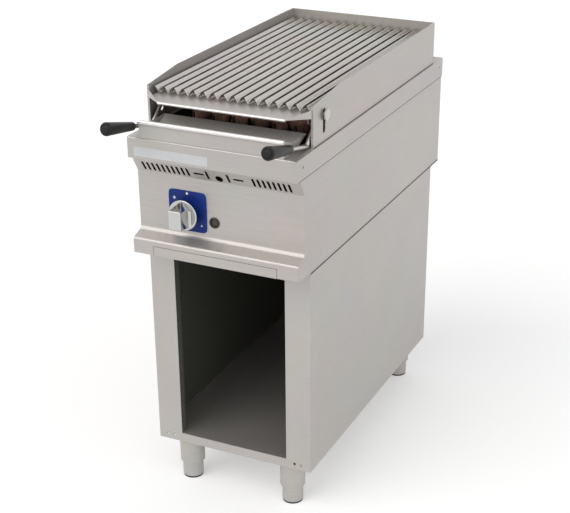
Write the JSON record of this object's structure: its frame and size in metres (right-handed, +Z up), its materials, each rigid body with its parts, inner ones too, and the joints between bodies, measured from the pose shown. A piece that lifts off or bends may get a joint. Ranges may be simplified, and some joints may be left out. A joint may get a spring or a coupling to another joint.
{
  "type": "charbroiler grill",
  "caption": "Gas charbroiler grill module on an open stand, with lava rocks under a tilting V-channel grate, lift handles, grease gutter, fat drawer and chrome tap knob.",
  "frame": {"origin": "on the floor under the middle of the whole object's bounding box", "axes": "+X to the user's right, +Y from the front to the rear, +Z up"},
  "size_m": [0.409, 1.0186, 0.994],
  "materials": {
    "stainless": "satin brushed stainless sheet",
    "leg_steel": "satin brushed stainless tube",
    "pad_rubber": "matt",
    "bar_steel": "bright stainless",
    "fire_steel": "heat-darkened stainless",
    "burner_steel": "plain steel tube",
    "lava": "rough, porous",
    "brass": "machined",
    "copper_lead": "drawn",
    "feed_aluminium": "drawn",
    "knob_chrome": "polished",
    "dial_blue": "satin",
    "electrode_ceramic": "matt",
    "lead_rubber": "satin",
    "igniter_plastic": "matt",
    "button_plastic": "gloss",
    "grip_plastic": "satin gloss"
  },
  "bodies": {
    "grill_body": {"stand_side_left": "stainless", "stand_side_right": "stainless", "stand_shelf": "stainless", "stand_back": "stainless", "stand_rails": "stainless", "leg_sleeves": "leg_steel", "leg_bolts": "bar_steel", "body_side_left": "stainless", "body_side_right": "stainless", "body_back": "stainless", "body_floor": "stainless", "fascia": "stainless", "worktop": "stainless", "join_screws": "bar_steel", "drawer_runners": "stainless", "firebox": "fire_steel", "flue_duct": "fire_steel", "burner": "burner_steel", "air_shutter": "burner_steel", "injector": "brass", "lava_rack": "fire_steel", "lava_rocks": "lava", "gas_pipe": "burner_steel", "gas_inlet": "brass", "feed_pipe": "feed_aluminium", "valve_body": "brass", "dial_plate": "dial_blue", "pilot_burner": "fire_steel", "thermocouple": "copper_lead", "spark_electrode": "electrode_ceramic", "ignition_lead": "lead_rubber", "igniter_body": "igniter_plastic", "igniter_bezel": "igniter_plastic", "igniter_nut": "feed_aluminium", "guard_left": "stainless", "guard_right": "stainless", "guard_rear": "stainless", "pivot_rod": "bar_steel", "pivot_bosses": "bar_steel"},
    "foot_front_left": {"foot_front_left": "leg_steel", "pad_front_left": "pad_rubber"},
    "foot_front_right": {"foot_front_right": "leg_steel", "pad_front_right": "pad_rubber"},
    "foot_rear_left": {"foot_rear_left": "leg_steel", "pad_rear_left": "pad_rubber"},
    "foot_rear_right": {"foot_rear_right": "leg_steel", "pad_rear_right": "pad_rubber"},
    "drawer": {"drawer_pan": "stainless", "drawer_front": "stainless"},
    "gutter": {"gutter": "stainless"},
    "grate": {"grate_channels": "bar_steel", "grate_frame": "bar_steel", "grate_chute": "stainless"},
    "lever": {"lever_bar": "bar_steel", "lever_heads": "bar_steel", "lever_grips": "grip_plastic"},
    "tap": {"valve_plug": "brass"},
    "knob": {"knob": "knob_chrome", "valve_stem": "bar_steel"},
    "igniter_key": {"igniter_button": "button_plastic"}
  },
  "joints": [
    {"name": "grate_tilt", "type": "hinge", "parent": "grill_body", "child": "grate", "pos_m": [0, 0.39432, 0.945], "axis": [1, 0, 0], "range_deg": [0, 3]},
    {"name": "lever_swing", "type": "hinge", "parent": "grate", "child": "lever", "pos_m": [0, -0.26119, 0.949], "axis": [1, 0, 0], "range_deg": [-35.2, 0.1]},
    {"name": "drawer_slide", "type": "slide", "parent": "grill_body", "child": "drawer", "axis": [0, -1, 0], "range_m": [0, 0.45]},
    {"name": "gutter_slide", "type": "slide", "parent": "grill_body", "child": "gutter", "axis": [0, -1, 0], "range_m": [0, 0.11]},
    {"name": "tap_turn", "type": "hinge", "parent": "grill_body", "child": "tap", "pos_m": [-0.079, -0.34269, 0.724], "axis": [0, -1, 0], "range_deg": [0, 225]},
    {"name": "knob_push", "type": "slide", "parent": "tap", "child": "knob", "axis": [0, 1, 0], "range_m": [0, 0.005], "stiffness_N_per_m": 1500},
    {"name": "igniter_push", "type": "slide", "parent": "grill_body", "child": "igniter_key", "axis": [0, 1, 0], "range_m": [0, 0.006], "stiffness_N_per_m": 800},
    {"name": "foot_front_left_level", "type": "slide", "parent": "grill_body", "child": "foot_front_left", "axis": [0, 0, 1], "range_m": [-0.025, 0.025]},
    {"name": "foot_front_right_level", "type": "slide", "parent": "grill_body", "child": "foot_front_right", "axis": [0, 0, 1], "range_m": [-0.025, 0.025]},
    {"name": "foot_rear_left_level", "type": "slide", "parent": "grill_body", "child": "foot_rear_left", "axis": [0, 0, 1], "range_m": [-0.025, 0.025]},
    {"name": "foot_rear_right_level", "type": "slide", "parent": "grill_body", "child": "foot_rear_right", "axis": [0, 0, 1], "range_m": [-0.025, 0.025]}
  ],
  "couplings": [
    {"joint": "lever_swing", "follows": "grate_tilt", "ratio": -11.667}
  ]
}
